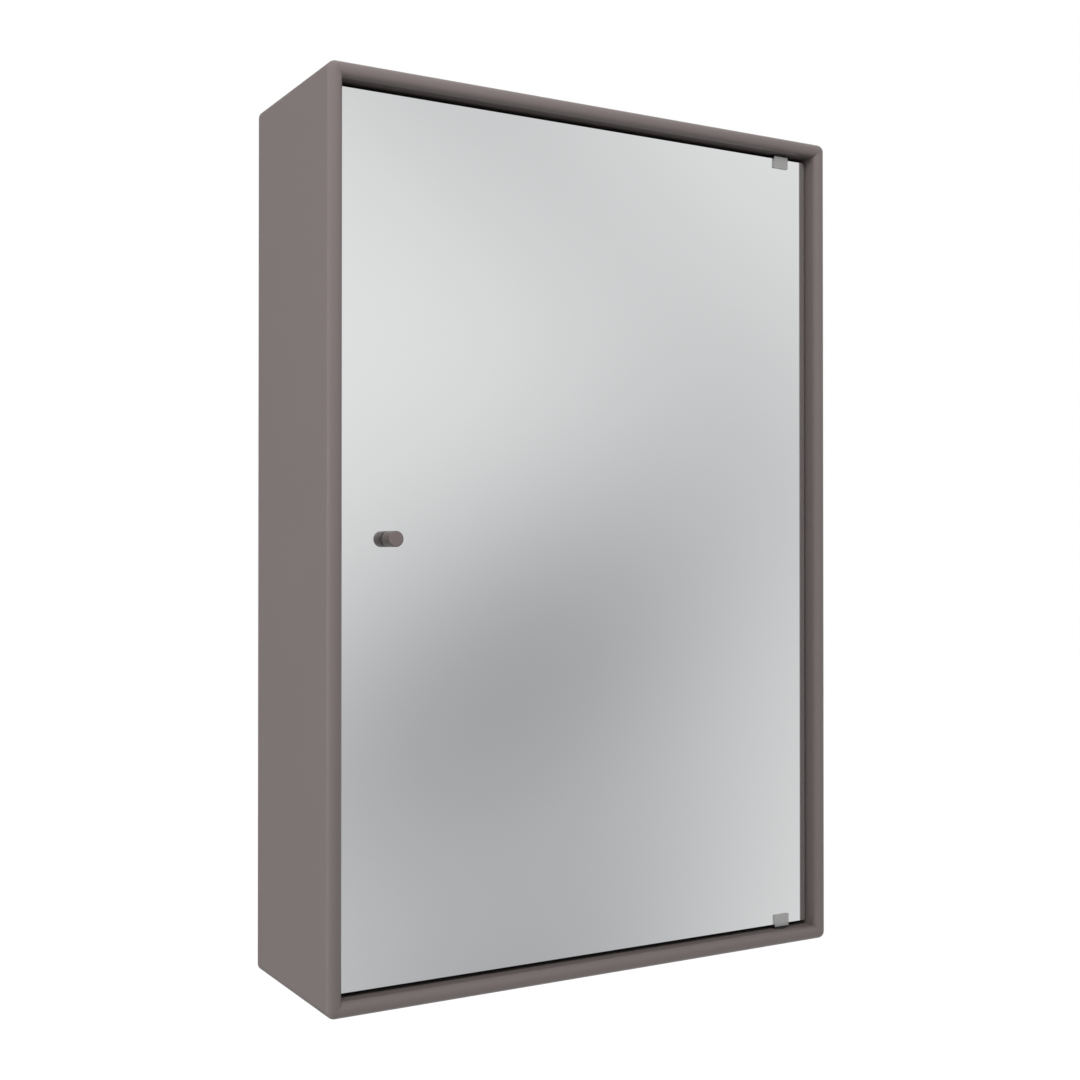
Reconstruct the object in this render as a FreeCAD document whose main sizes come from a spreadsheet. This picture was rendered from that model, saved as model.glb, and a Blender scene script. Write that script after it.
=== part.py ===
import FreeCAD, Part
import os
import re
import Sketcher
from FreeCAD import Placement, Rotation, Vector

# Wall-hung mirror cabinet: a mitred carcass with bullnose front edges, an inset mirror door
# on two pivots and two glass shelves. Millimetres, +Z up, front towards -Y. The origin lies on
# the wall, midway between the two fixing slots of the wall rail.

SIZES = {
    # Carcass
    "cabinet_width": 468,
    "cabinet_height": 700,
    "cabinet_depth": 153,
    "panel_thickness": 11.5,
    "nose_flat": 0.24,
    "corner_margin": 0.6,
    "joint_play": 0.1,
    # Back panel
    "back_thickness": 8,
    "groove_depth": 5,
    # Loose tongues in the mitres
    "tongue_width": 10,
    "tongue_thickness": 3,
    "tongue_place_share": 0.6,
    "tongue_front_inset": 30,
    "tongue_rear_gap": 9,
    # Hanging rails
    "rail_thickness": 2.5,
    "rail_play": 0.4,
    "rail_lip": 12,
    "rail_web": 26,
    "hook_web": 22,
    "lip_play": 1,
    "hook_top_gap": 7.5,
    "rail_end_inset": 16,
    "slot_end_inset": 56,
    "slot_width": 5.5,
    "slot_length": 20,
    "rail_screw_radius": 1.75,
    "rail_screw_head_radius": 3.5,
    "rail_screw_cover": 1.5,
    "rail_screw_end_inset": 26,
    # Mirror door
    "door_setback": 13,
    "door_side_gap": 2,
    "door_end_gap": 3.5,
    "glass_thickness": 4,
    "glass_arris": 0.4,
    "backing_thickness": 0.4,
    "backing_inset": 1,
    # Pivots
    "pivot_inset": 27.5,
    "pin_radius": 2,
    "pin_end_play": 1,
    "pin_clearance": 0.05,
    "pin_chamfer": 0.5,
    "bush_wall": 1.95,
    "bush_cover": 4,
    "bush_floor": 1,
    "flange_lip": 1.5,
    "flange_thickness": 1.2,
    "flange_gap": 0.5,
    # Hinge clamps
    "clamp_width": 15,
    "clamp_overlap": 8.5,
    "edge_play": 0.2,
    "front_plate": 1.5,
    "rear_plate": 4,
    "pad_thickness": 0.5,
    "grip_play": 0.5,
    "clamp_rounding": 0.5,
    "grub_radius": 2,
    "grub_socket_radius": 1.15,
    "grub_socket_depth": 2,
    # Knob
    "knob_radius": 6,
    "knob_length": 14.5,
    "knob_rim": 0.8,
    "knob_inset": 39,
    "knob_end_wall": 5.5,
    "knob_screw_radius": 2,
    "knob_screw_play": 1,
    "knob_screw_head_radius": 3.5,
    "knob_screw_head_height": 2.4,
    "knob_socket_radius": 1.45,
    "knob_socket_depth": 1.5,
    "glass_hole_radius": 3.5,
    "sleeve_play": 0.1,
    "washer_thickness": 0.5,
    "seat_washer_radius": 5.5,
    "rear_washer_radius": 8,
    # Magnetic catch
    "catch_width": 18,
    "catch_wall": 3,
    "catch_floor": 3.4,
    "ear_length": 11,
    "ear_thickness": 2.5,
    "pole_thickness": 1.2,
    "pole_proud": 0.8,
    "magnet_thickness": 6,
    "magnet_height": 24,
    "magnet_setback": 0.6,
    "magnet_depth": 10,
    "catch_gap": 0.3,
    "catch_screw_radius": 1.5,
    "catch_screw_cover": 4,
    "catch_screw_head_radius": 3,
    "catch_screw_head_height": 1.8,
    "ear_slot_length": 7,
    "ear_slot_play": 0.2,
    "strike_width": 12,
    "strike_height": 30,
    "strike_thickness": 1,
    "adhesive_thickness": 0.3,
    # Shelves
    "shelf_thickness": 6,
    "shelf_front_gap": 31,
    "shelf_back_gap": 2,
    "shelf_side_play": 2,
    "shelf_arris": 0.7,
    "lower_shelf_level": 222,
    "upper_shelf_level": 448,
    # Shelf supports
    "support_inset": 18,
    "support_width": 8,
    "support_reach": 10,
    "support_tip": 2,
    "support_drop": 9,
    "support_foot": 2.5,
    "stud_radius": 2.5,
    "stud_cover": 4,
    # Room that a cut runs past the face it starts from
    "cut_overrun": 1,
}
RAIL_SCREW_COUNT = 3

# Places and sizes that follow from the sheet

INNER_WIDTH = "(cabinet_width - 2*panel_thickness)"
INNER_HEIGHT = "(cabinet_height - 2*panel_thickness)"
LEFT_FACE = f"(-{INNER_WIDTH}/2)"
RAIL_SEAT = "(rail_web/2 + rail_lip)"
TOP = f"({RAIL_SEAT} + hook_web + hook_top_gap + panel_thickness)"
MIDDLE = f"({TOP} - cabinet_height/2)"
BOTTOM = f"({TOP} - cabinet_height)"
CEILING = f"({TOP} - panel_thickness)"
FLOOR = f"({BOTTOM} + panel_thickness)"
NOSE_RADIUS = "((panel_thickness - nose_flat)/2)"
CORNER_RADIUS = f"({NOSE_RADIUS} + corner_margin)"
BACK_RECESS = "(3*(rail_thickness + rail_play))"
BACK_FRONT = f"(-{BACK_RECESS} - back_thickness)"
TONGUE_PLACE = "(panel_thickness*tongue_place_share)"
TONGUE_REAR = f"({BACK_FRONT} - tongue_rear_gap)"
TONGUE_LENGTH = f"({TONGUE_REAR} + cabinet_depth - tongue_front_inset)"
RAIL_LENGTH = f"({INNER_WIDTH} - 2*rail_end_inset)"
SLOT_PLACE = f"({RAIL_LENGTH}/2 - slot_end_inset)"
RAIL_SCREW_BITE = "(back_thickness - rail_screw_cover)"
RAIL_SCREW_LEVEL = f"({RAIL_SEAT} + (rail_thickness + hook_web)/2)"
GLASS_WIDTH = f"({INNER_WIDTH} - 2*door_side_gap)"
GLASS_HEIGHT = f"({INNER_HEIGHT} - 2*door_end_gap)"
GLASS_FRONT = "(door_setback - cabinet_depth)"
GLASS_REAR = f"({GLASS_FRONT} + glass_thickness)"
DOOR_REAR = f"({GLASS_REAR} + backing_thickness)"
PIVOT_X = f"({GLASS_WIDTH}/2 - pivot_inset)"
PIVOT_Y = f"({GLASS_FRONT} + glass_thickness/2)"
BUSH_BORE = "(pin_radius + pin_clearance)"
BUSH_RADIUS = f"({BUSH_BORE} + bush_wall)"
FLANGE_RADIUS = f"({BUSH_RADIUS} + flange_lip)"
BUSH_DEPTH = "(panel_thickness - bush_cover)"
PIN_REACH = f"({BUSH_DEPTH} - bush_floor - pin_end_play)"
KNOB_X = f"(knob_inset - {GLASS_WIDTH}/2)"
KNOB_THREAD = "(knob_length - knob_end_wall)"
BRIDGE = "(door_end_gap - edge_play - flange_thickness - flange_gap)"
PAD_FRONT = "(-glass_thickness/2 - pad_thickness)"
PAD_REAR = "(glass_thickness/2 + backing_thickness + pad_thickness)"
CLAMP_FRONT = f"({PAD_FRONT} - front_plate)"
CLAMP_GRIP = f"({PAD_REAR} + grip_play)"
CLAMP_REAR = f"({CLAMP_GRIP} + rear_plate)"
GRUB_LEVEL = "(clamp_overlap/2)"
STRIKE_REAR = f"({DOOR_REAR} + adhesive_thickness + strike_thickness)"
POLE_FRONT = f"({STRIKE_REAR} + catch_gap)"
CATCH_FRONT = f"({POLE_FRONT} + pole_proud)"
CATCH_CENTRE = "((ear_thickness + catch_width)/2)"
CATCH_HEIGHT = "(magnet_height + 2*catch_wall)"
CAVITY_DEPTH = "(magnet_depth + magnet_setback)"
CATCH_DEPTH = f"({CAVITY_DEPTH} + catch_floor)"
CATCH_SCREW_DEPTH = f"({CATCH_FRONT} + {CATCH_DEPTH}/2)"
CATCH_SCREW_LEVEL = f"(({CATCH_HEIGHT} + ear_length)/2)"
SHELF_REAR = f"({BACK_FRONT} - shelf_back_gap)"
SHELF_FRONT = f"({DOOR_REAR} + shelf_front_gap)"
SUPPORT_PLACES = {"front": f"({SHELF_FRONT} + support_inset)", "rear": f"({SHELF_REAR} - support_inset)"}
STUD_LENGTH = "(panel_thickness - stud_cover)"
DIAGONAL = "cos(45 deg)"

ALONG_X = Rotation(Vector(0, 1, 0), 90)
ALONG_Y = Rotation(Vector(1, 0, 0), -90)
TOWARDS_FRONT = Rotation(Vector(1, 0, 0), 90)
UPSIDE_DOWN = Rotation(Vector(0, 1, 0), 180)
TOLERANCE = 1e-6

# Document and sheet

doc = FreeCAD.newDocument("MirrorCabinet")
sheet = doc.addObject("Spreadsheet::Sheet", "Sizes")
for row, (alias, number) in enumerate(SIZES.items(), start=1):
    sheet.set(f"A{row}", alias)
    sheet.set(f"B{row}", str(number))
    sheet.setAlias(f"B{row}", alias)
doc.recompute()
nodes = []


def formula(text):
    """Turn a sum of sizes, each a word with underscores, into an expression on the sheet."""
    return re.sub(r"[a-z]+(?:_[a-z]+)+", lambda word: f"Sizes.{word[0]}", text)


def value(text):
    """The number that a formula gives now."""
    return float(sheet.evalExpression(formula(text)))


def bind(item, **formulas):
    """Tie properties of an object to formulas."""
    for name, text in formulas.items():
        item.setExpression(name, formula(text))


def place(item, x="0", y="0", z="0", rotation=Rotation()):
    """Put an object where the formulas say."""
    item.Placement = Placement(Vector(), rotation)
    for axis, text in zip("xyz", (x, y, z)):
        item.setExpression(f"Placement.Base.{axis}", formula(text))


def node(item, label):
    """Name a finished sub-part and keep it for export."""
    item.Label = label
    nodes.append(item)
    return item


# Sketches and features


def new_sketch(body, role, name, offset="0"):
    """A sketch on one of the body's own planes, moved along the plane's normal."""
    sketch = body.newObject("Sketcher::SketchObject", name)
    plane = next(item for item in body.Origin.OriginFeatures if item.Role == role)
    sketch.AttachmentSupport = (plane, "")
    sketch.MapMode = "FlatFace"
    sketch.setExpression("AttachmentOffset.Base.z", formula(offset))
    return sketch


def fix_point(sketch, geometry, vertex, x=None, y=None):
    """Hold a point of the sketch at the given formulas."""
    for kind, text in (("DistanceX", x), ("DistanceY", y)):
        if text is not None:
            rule = Sketcher.Constraint(kind, -1, 1, geometry, vertex, value(text))
            index = sketch.addConstraint(rule)
            sketch.setExpression(f"Constraints[{index}]", formula(text))


def join_ends(sketch, first, count):
    """Close a chain of lines and arcs that were added in order."""
    for side in range(count):
        following = first + (side + 1) % count
        sketch.addConstraint(Sketcher.Constraint("Coincident", first + side, 2, following, 1))


def polygon(sketch, points):
    """A closed outline of straight sides through points given as pairs of formulas."""
    corners = [Vector(value(x), value(y)) for x, y in points]
    first = sketch.GeometryCount
    for start, end in zip(corners, corners[1:] + corners[:1]):
        sketch.addGeometry(Part.LineSegment(start, end))
    join_ends(sketch, first, len(points))
    for side, (x, y) in enumerate(points):
        fix_point(sketch, first + side, 1, x, y)


def rectangle(sketch, left, right, bottom, top):
    polygon(sketch, [(left, bottom), (right, bottom), (right, top), (left, top)])


def circle(sketch, x, y, radius):
    centre = Vector(value(x), value(y))
    geometry = sketch.addGeometry(Part.Circle(centre, Vector(0, 0, 1), value(radius)))
    fix_point(sketch, geometry, 3, x, y)
    index = sketch.addConstraint(Sketcher.Constraint("Radius", geometry, value(radius)))
    sketch.setExpression(f"Constraints[{index}]", formula(radius))


def slot(sketch, x, y, length, width):
    """A slot with round ends, lying along the sketch's own X."""
    left = f"{x} - ({length} - {width})/2"
    right = f"{x} + ({length} - {width})/2"
    low = f"{y} - {width}/2"
    high = f"{y} + {width}/2"
    low_left = Vector(value(left), value(low))
    low_right = Vector(value(right), value(low))
    high_right = Vector(value(right), value(high))
    high_left = Vector(value(left), value(high))
    far_right = Vector(value(f"{x} + {length}/2"), value(y))
    far_left = Vector(value(f"{x} - {length}/2"), value(y))
    first = sketch.GeometryCount
    sketch.addGeometry(Part.LineSegment(low_left, low_right))
    sketch.addGeometry(Part.Arc(low_right, far_right, high_right))
    sketch.addGeometry(Part.LineSegment(high_right, high_left))
    sketch.addGeometry(Part.Arc(high_left, far_left, low_left))
    join_ends(sketch, first, 4)
    fix_point(sketch, first, 1, left, low)
    fix_point(sketch, first, 2, right, low)
    fix_point(sketch, first + 1, 3, right, y)
    fix_point(sketch, first + 3, 3, left, y)
    fix_point(sketch, first + 2, 1, x=right)
    fix_point(sketch, first + 2, 2, x=left)


def pad(body, sketch, length, both_ways=False):
    feature = body.newObject("PartDesign::Pad", f"{sketch.Name}_pad")
    feature.Profile = sketch
    feature.Midplane = both_ways
    bind(feature, Length=length)
    doc.recompute()
    return feature


def pocket(body, sketch, depth, reverse=False, both_ways=False):
    """Cut a sketch into the body, and make sure that material came away."""
    before = body.Shape.Volume
    feature = body.newObject("PartDesign::Pocket", f"{sketch.Name}_pocket")
    feature.Profile = sketch
    feature.Midplane = both_ways
    feature.Reversed = reverse
    bind(feature, Length=depth)
    doc.recompute()
    if not feature.Shape.Volume < before - TOLERANCE:
        raise RuntimeError(f"{feature.Name} cuts nothing")
    return feature


def dress(body, kind, size_name, size, chosen):
    """Round or chamfer the edges of the body's tip that the test chooses."""
    base = body.Tip
    names = [f"Edge{count}" for count, edge in enumerate(base.Shape.Edges, start=1) if chosen(edge)]
    feature = body.newObject(f"PartDesign::{kind}", f"{body.Name}_{kind.lower()}")
    feature.Base = (base, names)
    bind(feature, **{size_name: size})
    doc.recompute()
    return feature


def all_at(edge, axis, place_formula):
    """Whether an edge lies wholly at one place along an axis."""
    wanted = value(place_formula)
    box = edge.BoundBox
    low, high = getattr(box, f"{axis}Min"), getattr(box, f"{axis}Max")
    return abs(low - wanted) < TOLERANCE and abs(high - wanted) < TOLERANCE


def is_straight(edge):
    return isinstance(edge.Curve, (Part.Line, Part.LineSegment))


# Primitives, used where a piece is a plain bar, box or ring


def bar(name, radius, length, x, y, z, rotation=Rotation()):
    item = doc.addObject("Part::Cylinder", name)
    bind(item, Radius=radius, Height=length)
    place(item, x, y, z, rotation)
    return item


def box(name, left, right, front, rear, bottom, top):
    """A box between two places along each axis."""
    item = doc.addObject("Part::Box", name)
    bind(item, Length=f"{right} - {left}", Width=f"{rear} - {front}", Height=f"{top} - {bottom}")
    place(item, left, front, bottom)
    return item


def cut(name, base, tool):
    item = doc.addObject("Part::Cut", name)
    item.Base = base
    item.Tool = tool
    return item


def fuse(name, first, second):
    item = doc.addObject("Part::Fuse", name)
    item.Base = first
    item.Tool = second
    return item


def ring(name, outer, inner, length, x, y, z, rotation=Rotation()):
    around = bar(f"{name}_outside", outer, length, x, y, z, rotation)
    hole = bar(f"{name}_hole", inner, length, x, y, z, rotation)
    return cut(name, around, hole)


def hexagon(name, radius, length, x, y, z, rotation):
    item = doc.addObject("Part::Prism", name)
    item.Polygon = 6
    bind(item, Circumradius=radius, Height=length)
    place(item, x, y, z, rotation)
    return item


def gather(name, pieces):
    """Several alike pieces in one node, each still its own solid."""
    item = doc.addObject("Part::Compound", name)
    item.Links = pieces
    return item


# Carcass panels. Each lies flat in its own frame: outer face up, length along X, rear edge at Y 0.


def mitred_outline(sketch, length):
    """A panel's front view: mitred ends that meet the outer face in half of a rounded corner."""
    end = f"{length}/2"
    turn = f"{end} - {CORNER_RADIUS}"
    split_x = f"{turn} + {CORNER_RADIUS}*{DIAGONAL}"
    split_z = f"{CORNER_RADIUS}*({DIAGONAL} - 1)"
    bend_x = f"{turn} + {CORNER_RADIUS}*sin(22.5 deg)"
    bend_z = f"{CORNER_RADIUS}*(cos(22.5 deg) - 1)"
    inner_x = f"{end} - panel_thickness"
    inner_z = "-panel_thickness"

    def both_ends(x, z):
        return Vector(-value(x), value(z)), Vector(value(x), value(z))

    inner_left, inner_right = both_ends(inner_x, inner_z)
    split_left, split_right = both_ends(split_x, split_z)
    bend_left, bend_right = both_ends(bend_x, bend_z)
    turn_left, turn_right = both_ends(turn, "0")
    sketch.addGeometry(Part.LineSegment(inner_left, inner_right))
    sketch.addGeometry(Part.LineSegment(inner_right, split_right))
    sketch.addGeometry(Part.Arc(split_right, bend_right, turn_right))
    sketch.addGeometry(Part.LineSegment(turn_right, turn_left))
    sketch.addGeometry(Part.Arc(turn_left, bend_left, split_left))
    sketch.addGeometry(Part.LineSegment(split_left, inner_left))
    join_ends(sketch, 0, 6)
    fix_point(sketch, 0, 1, f"-({inner_x})", inner_z)
    fix_point(sketch, 0, 2, inner_x, inner_z)
    fix_point(sketch, 2, 3, turn, f"-{CORNER_RADIUS}")
    fix_point(sketch, 4, 3, f"-({turn})", f"-{CORNER_RADIUS}")
    fix_point(sketch, 2, 1, x=split_x)
    fix_point(sketch, 4, 2, x=f"-({split_x})")
    fix_point(sketch, 3, 1, turn, "0")
    fix_point(sketch, 3, 2, f"-({turn})", "0")


def inner_nose(body, length):
    """Round the inner front edge along the panel, so that the front becomes a bullnose."""
    sketch = new_sketch(body, "YZ_Plane", f"{body.Name}_inner_nose")
    inside = "-panel_thickness"
    below = f"{inside} - cut_overrun"
    ahead = "-cabinet_depth - cut_overrun"
    tip = f"{inside} + {NOSE_RADIUS}"
    foot = f"-cabinet_depth + {NOSE_RADIUS}"
    bend_y = f"-cabinet_depth + {NOSE_RADIUS}*(1 - {DIAGONAL})"
    bend_z = f"{inside} + {NOSE_RADIUS}*(1 - {DIAGONAL})"

    def point(y, z):
        return Vector(value(y), value(z))

    sketch.addGeometry(Part.Arc(point("-cabinet_depth", tip), point(bend_y, bend_z), point(foot, inside)))
    sketch.addGeometry(Part.LineSegment(point(foot, inside), point(foot, below)))
    sketch.addGeometry(Part.LineSegment(point(foot, below), point(ahead, below)))
    sketch.addGeometry(Part.LineSegment(point(ahead, below), point(ahead, tip)))
    sketch.addGeometry(Part.LineSegment(point(ahead, tip), point("-cabinet_depth", tip)))
    join_ends(sketch, 0, 5)
    fix_point(sketch, 0, 3, foot, tip)
    fix_point(sketch, 0, 1, "-cabinet_depth", tip)
    fix_point(sketch, 1, 1, x=foot)
    fix_point(sketch, 2, 1, foot, below)
    fix_point(sketch, 3, 1, ahead, below)
    fix_point(sketch, 4, 1, ahead, tip)
    pocket(body, sketch, length, both_ways=True)


def tongue_slots(body, length):
    """Half of the slot for a loose tongue in each mitred end, stopped short of the front."""
    sketch = new_sketch(body, "XZ_Plane", f"{body.Name}_tongue_slots", f"-{TONGUE_REAR} - joint_play")
    half_thick = f"(tongue_thickness/2 + joint_play)*{DIAGONAL}"
    half_wide = f"(tongue_width/2 + joint_play)*{DIAGONAL}"
    past = f"cut_overrun*{DIAGONAL}"
    centre = f"{length}/2 - {TONGUE_PLACE}"
    for sign in ("", "-"):
        corners = [
            (f"{centre} + {half_thick} + {past}", f"-{TONGUE_PLACE} + {half_thick} - {past}"),
            (f"{centre} - {half_thick} + {past}", f"-{TONGUE_PLACE} - {half_thick} - {past}"),
            (f"{centre} - {half_thick} - {half_wide}", f"-{TONGUE_PLACE} - {half_thick} + {half_wide}"),
            (f"{centre} + {half_thick} - {half_wide}", f"-{TONGUE_PLACE} + {half_thick} + {half_wide}"),
        ]
        polygon(sketch, [(f"{sign}({x})", z) for x, z in corners])
    pocket(body, sketch, f"{TONGUE_LENGTH} + 2*joint_play", reverse=True)


def drill(body, name, holes, radius, depth):
    """Blind holes in a panel's inner face."""
    sketch = new_sketch(body, "XY_Plane", f"{body.Name}_{name}", "-panel_thickness")
    for x, y in holes:
        circle(sketch, x, y, radius)
    pocket(body, sketch, depth, reverse=True)


def make_panel(label, length, turn, x, z):
    """A mitred panel with a bullnose front edge, a groove for the back and tongue slots."""
    body = doc.addObject("PartDesign::Body", label)
    outline = new_sketch(body, "XZ_Plane", f"{label}_outline")
    mitred_outline(outline, length)
    pad(body, outline, "cabinet_depth")

    def outer_front(edge):
        outside = all_at(edge, "Z", "0") or not is_straight(edge)
        return outside and all_at(edge, "Y", "-cabinet_depth")

    dress(body, "Fillet", "Radius", NOSE_RADIUS, outer_front)
    inner_nose(body, length)
    groove = new_sketch(body, "YZ_Plane", f"{label}_back_groove")
    rectangle(
        groove,
        f"{BACK_FRONT} - joint_play",
        f"-{BACK_RECESS} + joint_play",
        "-panel_thickness - cut_overrun",
        "-panel_thickness + groove_depth",
    )
    pocket(body, groove, length, both_ways=True)
    tongue_slots(body, length)
    place(body, x=x, z=z, rotation=Rotation(Vector(0, 1, 0), turn))
    return node(body, label)


SHELF_LEVELS = {"lower": "lower_shelf_level", "upper": "upper_shelf_level"}


def stud_holes(up):
    """Holes for the studs of the shelf supports; up is the way that the panel's own X points."""
    holes = []
    for level in SHELF_LEVELS.values():
        height = f"({level} - support_drop/2 - {INNER_HEIGHT}/2)"
        holes += [(f"{up}*{height}", depth) for depth in SUPPORT_PLACES.values()]
    return holes


top_panel = make_panel("top_panel", "cabinet_width", 0, "0", TOP)
bottom_panel = make_panel("bottom_panel", "cabinet_width", 180, "0", BOTTOM)
left_panel = make_panel("left_side_panel", "cabinet_height", -90, "-cabinet_width/2", MIDDLE)
right_panel = make_panel("right_side_panel", "cabinet_height", 90, "cabinet_width/2", MIDDLE)
drill(top_panel, "bush_hole", [(PIVOT_X, PIVOT_Y)], BUSH_RADIUS, BUSH_DEPTH)
drill(bottom_panel, "bush_hole", [(f"-{PIVOT_X}", PIVOT_Y)], BUSH_RADIUS, BUSH_DEPTH)
drill(left_panel, "stud_holes", stud_holes(1), "stud_radius", STUD_LENGTH)
drill(right_panel, "stud_holes", stud_holes(-1), "stud_radius", STUD_LENGTH)
catch_screw_holes = [(f"{sign}*{CATCH_SCREW_LEVEL}", CATCH_SCREW_DEPTH) for sign in (-1, 1)]
CATCH_SCREW_BITE = "(panel_thickness - catch_screw_cover)"
drill(left_panel, "catch_screw_holes", catch_screw_holes, "catch_screw_radius", CATCH_SCREW_BITE)

# Back panel, set in the groove, with pilot holes for the screws of the hook rail


def rail_screw_places():
    span = f"({RAIL_LENGTH} - 2*rail_screw_end_inset)"
    return [f"({step}/{RAIL_SCREW_COUNT - 1} - 0.5)*{span}" for step in range(RAIL_SCREW_COUNT)]


back_half_width = f"({INNER_WIDTH}/2 + groove_depth - joint_play)"
back_half_height = f"({INNER_HEIGHT}/2 + groove_depth - joint_play)"
back_panel = doc.addObject("PartDesign::Body", "back_panel")
back_outline = new_sketch(back_panel, "XZ_Plane", "back_panel_outline")
rectangle(
    back_outline,
    f"-{back_half_width}",
    back_half_width,
    f"{MIDDLE} - {back_half_height}",
    f"{MIDDLE} + {back_half_height}",
)
pad(back_panel, back_outline, "back_thickness")
pilot_holes = new_sketch(back_panel, "XZ_Plane", "back_panel_pilot_holes")
for across in rail_screw_places():
    circle(pilot_holes, across, RAIL_SCREW_LEVEL, "rail_screw_radius")
pocket(back_panel, pilot_holes, RAIL_SCREW_BITE, reverse=True)
place(back_panel, y=f"-{BACK_RECESS}")
node(back_panel, "back_panel")

# Loose tongues across the four mitres


def make_tongue(side, end):
    """A tongue in one corner: side is -1 left or 1 right, end is -1 bottom or 1 top."""
    side_name = "left" if side < 0 else "right"
    end_name = "low" if end < 0 else "high"
    item = doc.addObject("Part::Box", f"tongue_{side_name}_{end_name}")
    lean = side * end
    bind(item, Length="tongue_width", Width=TONGUE_LENGTH, Height="tongue_thickness")
    corner_x = f"{side}*(cabinet_width/2 - {TONGUE_PLACE})"
    corner_z = f"{MIDDLE} + {end}*(cabinet_height/2 - {TONGUE_PLACE})"
    place(
        item,
        f"{corner_x} - {DIAGONAL}*(tongue_width + {lean}*tongue_thickness)/2",
        "tongue_front_inset - cabinet_depth",
        f"{corner_z} + {DIAGONAL}*({lean}*tongue_width - tongue_thickness)/2",
        Rotation(Vector(0, 1, 0), 45 * lean),
    )
    return item


tongues = [make_tongue(side, end) for side in (-1, 1) for end in (-1, 1)]
node(gather("corner_tongues", tongues), "corner_tongues")

# Hanging rails: the hook rail on the cabinet drops behind the lip of the wall rail


def rail_place(thicknesses, plays):
    """A place between the wall and the back panel, counted in rail thicknesses and plays."""
    return f"(-{thicknesses}*rail_thickness - {plays}*rail_play)"


def make_rail(label, points):
    body = doc.addObject("PartDesign::Body", label)
    profile = new_sketch(body, "YZ_Plane", f"{label}_profile")
    polygon(profile, points)
    pad(body, profile, RAIL_LENGTH, both_ways=True)
    return body


wall_rail = make_rail(
    "wall_rail",
    [
        ("0", "-rail_web/2"),
        ("0", "rail_web/2"),
        (rail_place(1, 2), "rail_web/2"),
        (rail_place(1, 2), RAIL_SEAT),
        (rail_place(2, 2), RAIL_SEAT),
        (rail_place(2, 2), "rail_web/2 - rail_thickness"),
        (rail_place(1, 0), "rail_web/2 - rail_thickness"),
        (rail_place(1, 0), "-rail_web/2"),
    ],
)
wall_slots = new_sketch(wall_rail, "XZ_Plane", "wall_rail_slots")
for sign in (-1, 1):
    slot(wall_slots, f"{sign}*{SLOT_PLACE}", "0", "slot_length", "slot_width")
pocket(wall_rail, wall_slots, "rail_thickness", reverse=True)
node(wall_rail, "wall_rail")

hook_rail = make_rail(
    "hook_rail",
    [
        (rail_place(0, 1), f"{RAIL_SEAT} + rail_thickness"),
        (rail_place(0, 1), "rail_web/2 + lip_play"),
        (rail_place(1, 1), "rail_web/2 + lip_play"),
        (rail_place(1, 1), RAIL_SEAT),
        (rail_place(3, 3), RAIL_SEAT),
        (rail_place(3, 3), f"{RAIL_SEAT} + hook_web"),
        (rail_place(2, 3), f"{RAIL_SEAT} + hook_web"),
        (rail_place(2, 3), f"{RAIL_SEAT} + rail_thickness"),
    ],
)
hook_holes = new_sketch(hook_rail, "XZ_Plane", "hook_rail_holes", f"-{rail_place(2, 3)}")
for across in rail_screw_places():
    circle(hook_holes, across, RAIL_SCREW_LEVEL, "rail_screw_radius")
pocket(hook_rail, hook_holes, "rail_thickness", reverse=True)


def rail_hole_mouth(edge):
    return all_at(edge, "Y", rail_place(2, 3)) and not is_straight(edge)


HEAD_FLARE = "(rail_screw_head_radius - rail_screw_radius)"
dress(hook_rail, "Chamfer", "Size", HEAD_FLARE, rail_hole_mouth)
node(hook_rail, "hook_rail")


def make_rail_screw(number, across):
    """A countersunk screw from behind, flush with the hook rail."""
    shank = bar(
        f"rail_screw_shank_{number}",
        "rail_screw_radius",
        f"rail_thickness + {RAIL_SCREW_BITE}",
        across,
        rail_place(2, 3),
        RAIL_SCREW_LEVEL,
        TOWARDS_FRONT,
    )
    head = doc.addObject("Part::Cone", f"rail_screw_head_{number}")
    bind(head, Radius1="rail_screw_head_radius", Radius2="rail_screw_radius", Height=HEAD_FLARE)
    place(head, across, rail_place(2, 3), RAIL_SCREW_LEVEL, TOWARDS_FRONT)
    return fuse(f"rail_screw_{number}", shank, head)


rail_screws = [make_rail_screw(*numbered) for numbered in enumerate(rail_screw_places(), start=1)]
node(gather("rail_screws", rail_screws), "rail_screws")

# Mirror door: glass with a safety backing

glass = doc.addObject("PartDesign::Body", "mirror_glass")
glass_outline = new_sketch(glass, "XZ_Plane", "mirror_glass_outline")
rectangle(glass_outline, f"-{GLASS_WIDTH}/2", f"{GLASS_WIDTH}/2", f"-{GLASS_HEIGHT}/2", f"{GLASS_HEIGHT}/2")
circle(glass_outline, KNOB_X, "0", "glass_hole_radius")
pad(glass, glass_outline, "glass_thickness")


def glass_edge(edge):
    return is_straight(edge) and (all_at(edge, "Y", "0") or all_at(edge, "Y", "-glass_thickness"))


dress(glass, "Chamfer", "Size", "glass_arris", glass_edge)
place(glass, y=GLASS_REAR, z=MIDDLE)
node(glass, "mirror_glass")

backing = doc.addObject("PartDesign::Body", "mirror_backing")
backing_outline = new_sketch(backing, "XZ_Plane", "mirror_backing_outline")
film_half_width = f"({GLASS_WIDTH}/2 - backing_inset)"
film_half_height = f"({GLASS_HEIGHT}/2 - backing_inset)"
rectangle(backing_outline, f"-{film_half_width}", film_half_width, f"-{film_half_height}", film_half_height)
circle(backing_outline, KNOB_X, "0", "glass_hole_radius")
pad(backing, backing_outline, "backing_thickness")
place(backing, y=DOOR_REAR, z=MIDDLE)
node(backing, "mirror_backing")

# Knob, with its screw, soft washers and the sleeve that keeps the screw off the glass

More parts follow.
